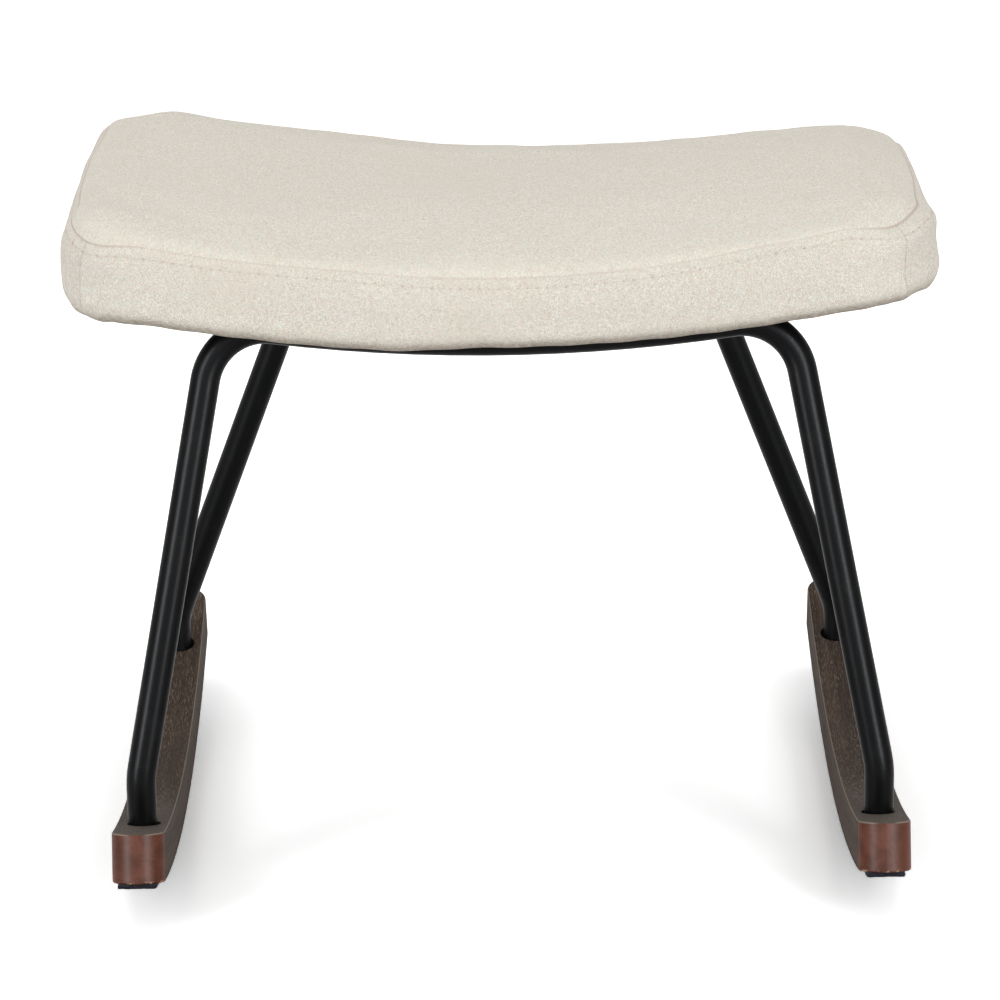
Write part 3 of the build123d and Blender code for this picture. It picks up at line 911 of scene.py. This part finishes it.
def bead(centre, length_way, up, half_length, half_width, half_high, steps=7, sides=8):
    """A closed grain-like stitch: a bent, tapering tube."""
    across = np.cross(length_way, up)
    verts = []
    for i in range(steps):
        t = -1 + 2 * i / (steps - 1)
        fat = math.sqrt(max(0.0, 1 - abs(t) ** 2.6)) * 0.94 + 0.06
        sink = -0.9 * half_high * abs(t) ** 2.2
        for j in range(sides):
            a = TAU * j / sides
            off = across * (half_width * fat * math.cos(a)) + up * (half_high * fat * math.sin(a) + sink)
            verts.append(centre + length_way * (half_length * t) + off)
    return verts, tube_faces(steps, sides)


def merged(name, parts, materials):
    """One object of many closed parts, each given as (points, faces)."""
    verts, fs = [], []
    for pv, pf in parts:
        base = len(verts)
        verts.extend(pv)
        fs.extend(tuple(i + base for i in f) for f in pf)
    ob = new_object(name, verts, fs, materials)
    ob.data.shade_smooth()
    return ob


track = ring_track(marks["stitch"])
stitches = []
for j in range(round(rim_length / PITCH)):
    p, n, d = along_track(*track, rim_arc, rim_length, (j + 0.5) * PITCH + rng.uniform(-0.25, 0.25))
    d = d + np.cross(n, d) * rng.uniform(-0.05, 0.05)
    way = d / np.linalg.norm(d)
    stitches.append(
        bead(p + n * 0.00012, way, n, half_length=0.0021, half_width=0.00036, half_high=0.00032)
    )
thread = thread_material()
topstitch = merged("topstitch_thread", stitches, [thread])

# ------------------------------------------------------------- dust cover
spun = spunbond()
zinc = plated_steel()
DUST_S, DUST_Y = 241.0, 148.0


def dust_height(s, y):
    """The cloth is tight over the cross bars and straps and sags a little between them."""
    bar = np.exp(-(((np.abs(y) - 130) / 17) ** 2))
    strap = np.exp(-(((np.abs(s) - 70) / 24) ** 2)) * (np.abs(y) < 140)
    edge = np.maximum(np.abs(s) / DUST_S, np.abs(y) / DUST_Y) ** 10
    hold = np.clip(np.maximum.reduce([bar, strap, edge]), 0, 1)
    ripple = 0.35 * np.sin(s / 23 + 2 * np.sin(y / 40)) * np.sin(y / 31 + s / 90)
    return 0.55 * hold + (1 - hold) * (-1.1 + ripple)


nx, ny = 150, 92
gs, gy = np.meshgrid(np.linspace(-1, 1, nx), np.linspace(-1, 1, ny), indexing="ij")
round_off = 1 - 0.035 * (np.abs(gs) ** 14) * (np.abs(gy) ** 14)
ds, dy = gs * DUST_S * round_off, gy * DUST_Y * round_off
ds = ds + 0.7 * np.sin(dy / 19) * np.abs(gs) ** 6
dy = dy + 0.6 * np.sin(ds / 17) * np.abs(gy) ** 6
dust_pts = wrap(ds, dy, dust_height(ds, dy)).reshape(-1, 3) * MM
dust_faces = []
for i in range(nx - 1):
    for j in range(ny - 1):
        dust_faces.append((i * ny + j, i * ny + j + 1, (i + 1) * ny + j + 1, (i + 1) * ny + j))
dust = new_object("dust_cover_cloth", dust_pts, dust_faces, [spun])
thick = dust.modifiers.new("thickness", "SOLIDIFY")
thick.thickness = 0.0003
thick.offset = 0
bake_modifiers(dust)


def staple(s, y, turn):
    """Wire staple, pressed flat against the underside."""
    wire, half, leg = 0.55, 5.0, 1.6
    line = [(-half, leg), (-half, 0.25), (-half + 0.5, -0.25)]
    line += [(-a, h) for a, h in reversed(line)]
    verts, sides = [], 6
    c, sn = math.cos(turn), math.sin(turn)
    for i, (a, h) in enumerate(line):
        before, after = line[max(0, i - 1)], line[min(len(line) - 1, i + 1)]
        d = np.array([after[0] - before[0], after[1] - before[1]])
        d /= np.linalg.norm(d)
        for j in range(sides):
            t = TAU * j / sides
            off, up = math.cos(t) * wire / 2, math.sin(t) * wire / 2
            la, lh = a - d[1] * up, h + d[0] * up
            at = np.array([s + la * c - off * sn, y + la * sn + off * c, lh])
            verts.append(wrap(*at) * MM)
    return verts, tube_faces(len(line), sides)


staples = []
for k in range(13):
    s = -222 + 37 * k
    for sign in (-1, 1):
        along, across, turn = rng.uniform(-3, 3), rng.uniform(-1, 1), rng.uniform(-0.12, 0.12)
        staples.append(staple(s + along, sign * (DUST_Y - 5 + across), turn))
for k in range(8):
    y = -122 + 35 * k
    for sign in (-1, 1):
        across, along, turn = rng.uniform(-1, 1), rng.uniform(-3, 3), rng.uniform(-0.12, 0.12)
        staples.append(staple(sign * (DUST_S - 5 + across), y + along, math.pi / 2 + turn))
staple_set = merged("dust_cover_staples", staples, [zinc])

# ------------------------------------------------------------- felt strips
felt = felt_material()


def felt_strip(name, node, seed):
    """A strip of felt along the sole of a rocker, with frayed edges and loose fibres."""
    low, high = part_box(node)
    mid_x = (low.x + high.x) / 2 / MM
    half_w = (high.x - low.x) / 2 / MM
    thick = 3.0
    swing = math.asin((high.y - low.y) / 2 / MM / (SOLE_R + thick))
    outline_pts = []
    for t in np.linspace(-1, 1, 13):
        outline_pts.append((t * half_w, thick - 0.05))
    for a in np.linspace(0, 1, 5)[1:]:
        outline_pts.append((half_w - 0.5 * a * a, thick * (1 - a)))
    for t in np.linspace(1, -1, 13)[1:]:
        outline_pts.append((t * (half_w - 0.5), 0.0))
    for a in np.linspace(0, 1, 5)[1:-1]:
        outline_pts.append((-half_w + 0.5 * (1 - a) ** 2, thick * a))
    sec = np.array(outline_pts)
    steps = 260
    angle = np.linspace(-swing, swing, steps)
    across = np.repeat(sec[None, :, 0], steps, 0)
    up = np.repeat(sec[None, :, 1], steps, 0)
    turn = np.repeat(angle[:, None], len(sec), 1)
    pts = np.stack([across, turn * SOLE_R, up], -1).reshape(-1, 3)
    edge = (np.abs(pts[:, 0]) / half_w) ** 6
    rough = 0.45 * soft_noise(pts, 7, seed) + 0.3 * soft_noise(pts, 2.6, seed + 1)
    pts[:, 0] += np.sign(pts[:, 0]) * edge * (rough - 0.35)
    end = np.abs(pts[:, 1]) > swing * SOLE_R - 0.1
    pts[end, 1] += np.sign(pts[end, 1]) * (0.5 * soft_noise(pts[end], 3, seed + 2) - 0.5)
    low_face = pts[:, 2] < 0.5
    pts[low_face, 2] += 0.12 + 0.1 * soft_noise(pts[low_face], 3.1, seed + 3)
    r = SOLE_R + thick - pts[:, 2]
    a = pts[:, 1] / SOLE_R
    world = np.stack([mid_x + pts[:, 0], r * np.sin(a), ROCKER_Z - r * np.cos(a)], -1)
    parts = [(list(world * MM), tube_faces(steps, len(sec)))]
    fibre_faces = [(0, 1, 4, 3), (1, 2, 5, 4), (2, 0, 3, 5), (3, 4, 6), (4, 5, 6), (5, 3, 6), (2, 1, 0)]
    # loose fibres on the cut edges and ends
    r2 = np.random.default_rng(seed)
    for _ in range(900):
        if r2.random() < 0.4:
            ang = math.copysign(swing, r2.random() - 0.5) * (1 - 0.0004)
            fx = r2.uniform(-half_w, half_w) * 0.97
            way = np.array([r2.normal() * 0.5, math.copysign(1, ang), r2.normal() * 0.5])
        else:
            ang = r2.uniform(-swing, swing)
            fx = math.copysign(half_w - 0.6, r2.random() - 0.5)
            way = np.array([math.copysign(1, fx), r2.normal() * 0.7, r2.normal() * 0.5])
        h = r2.uniform(0.4, thick - 0.4)
        way /= np.linalg.norm(way)
        rr = SOLE_R + thick - h
        base = np.array([mid_x + fx, rr * math.sin(ang), ROCKER_Z - rr * math.cos(ang)]) - way * 0.4
        side_way = np.cross(way, [0.3, 0.2, 0.93])
        side_way /= np.linalg.norm(side_way)
        other = np.cross(way, side_way)
        wide, long = r2.uniform(0.07, 0.13), r2.uniform(0.9, 1.9)
        bend = side_way * r2.normal() * 0.25
        ring0 = [base + (side_way * math.cos(q) + other * math.sin(q)) * wide for q in (0, 2.1, 4.2)]
        ring1 = [p + way * long * 0.6 + bend for p in ring0]
        tip = base + way * long + bend * 2.4
        if tip[2] < 0.15:
            continue
        verts = [np.array(p) * MM for p in (*ring0, *ring1, tip)]
        parts.append((verts, fibre_faces))
    return merged(name, parts, [felt])


left_felt = felt_strip("left_felt_sole", "left_felt_strip", 21)
right_felt = felt_strip("right_felt_sole", "right_felt_strip", 35)

# ------------------------------------------------- materials of CAD nodes
coat = painted_steel()
wood = stained_wood()
board = plywood()
finishes = {
    "front_leg_hoop": coat, "rear_leg_hoop": coat, "left_seat_strap": coat, "right_seat_strap": coat,
    "left_rocker": wood, "right_rocker": wood, "seat_board": board,
    "tee_nuts": zinc, "seat_bolts": zinc, "seat_washers": zinc,
    "leg_inserts": zinc, "leg_bolts": zinc, "leg_washers": zinc,
}
for name, mat in finishes.items():
    ob = nodes[name]
    if not ob.material_slots:
        ob.data.materials.append(mat)
    for s in ob.material_slots:
        s.material = mat

# ----------------------------------------------------------------- studio
# the camera and reflections see plain white; the object is lit by a dimmer white and the lamps
def by_ray(tree, lit, seen):
    """A mix that gives seen to camera, glossy and transmission rays, and lit to all others."""
    rays = tree.nodes.new("ShaderNodeLightPath")
    share = rays.outputs["Is Camera Ray"]
    for kind in ("Is Glossy Ray", "Is Transmission Ray"):
        either = tree.nodes.new("ShaderNodeMath")
        either.operation = "MAXIMUM"
        tree.links.new(share, either.inputs[0])
        tree.links.new(rays.outputs[kind], either.inputs[1])
        share = either.outputs[0]
    mix = tree.nodes.new("ShaderNodeMixShader")
    for source, socket in zip((share, lit.outputs[0], seen.outputs[0]), mix.inputs):
        tree.links.new(source, socket)
    return mix.outputs[0]


world = bpy.data.worlds.new("studio")
scene.world = world
world.use_nodes = True
wt = world.node_tree
back = wt.nodes["Background"]
dim = wt.nodes.new("ShaderNodeBackground")
for shader, strength in ((back, 1.0), (dim, 0.62)):
    shader.inputs["Color"].default_value = (1, 1, 1, 1)
    shader.inputs["Strength"].default_value = strength
wt.links.new(by_ray(wt, dim, back), wt.nodes["World Output"].inputs["Surface"])

floor = new_object("floor", [(-6, -6, 0), (6, -6, 0), (6, 6, 0), (-6, 6, 0)], [(0, 1, 2, 3)])
fm = bpy.data.materials.new("studio_floor")
fm.use_nodes = True
ft = fm.node_tree
ft.nodes.remove(ft.nodes["Principled BSDF"])
lit = ft.nodes.new("ShaderNodeBsdfDiffuse")
lit.inputs["Color"].default_value = (0.60, 0.60, 0.60, 1)
seen = ft.nodes.new("ShaderNodeBsdfDiffuse")
seen.inputs["Color"].default_value = (1.63, 1.63, 1.63, 1)
ft.links.new(by_ray(ft, lit, seen), ft.nodes["Material Output"].inputs["Surface"])
floor.data.materials.append(fm)


def softbox(name, where, target, wide, high, power, colour=(1, 1, 1), sheen_only=False):
    """A rectangular lamp; one with sheen_only shows in glossy reflections and lights nothing else."""
    data = bpy.data.lights.new(name, "AREA")
    data.shape = "RECTANGLE"
    data.size, data.size_y = wide, high
    data.energy = power
    data.color = colour
    ob = bpy.data.objects.new(name, data)
    scene.collection.objects.link(ob)
    ob.location = where
    ob.visible_diffuse = not sheen_only
    way = Vector(target) - Vector(where)
    ob.rotation_euler = way.to_track_quat("-Z", "Y").to_euler()
    return ob


softbox("key_overhead", (-0.1, 0.7, 2.7), (0, 0, 0.35), 2.6, 1.8, 16)
softbox("fill_left", (-1.7, -1.75, 0.95), (0, 0, 0.25), 0.5, 1.8, 20)
softbox("fill_right", (1.35, -2.0, 0.95), (0, 0, 0.25), 0.5, 1.8, 22)
softbox("front_sheen", (0, -3.4, 1.3), (0, 0, 0.3), 2.2, 1.1, 45, (1, 1, 1), True)
COOL = (0.96, 0.98, 1.0)
softbox("strip_left", (-1.75, -1.8, 0.8), (0, 0, 0.25), 0.5, 1.7, 135, COOL, True)
softbox("strip_right", (1.35, -2.05, 0.8), (0, 0, 0.25), 0.5, 1.7, 135, COOL, True)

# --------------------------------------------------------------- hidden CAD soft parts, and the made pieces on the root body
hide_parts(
    "cover_top_panel", "cover_boxing_front", "cover_boxing_back", "cover_boxing_left",
    "cover_boxing_right", "foam_pad",
)
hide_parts("dust_cover")
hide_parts("left_felt_strip")
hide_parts("right_felt_strip")
for ob in (cushion, topstitch, dust, staple_set, left_felt, right_felt):
    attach(ob, "root")
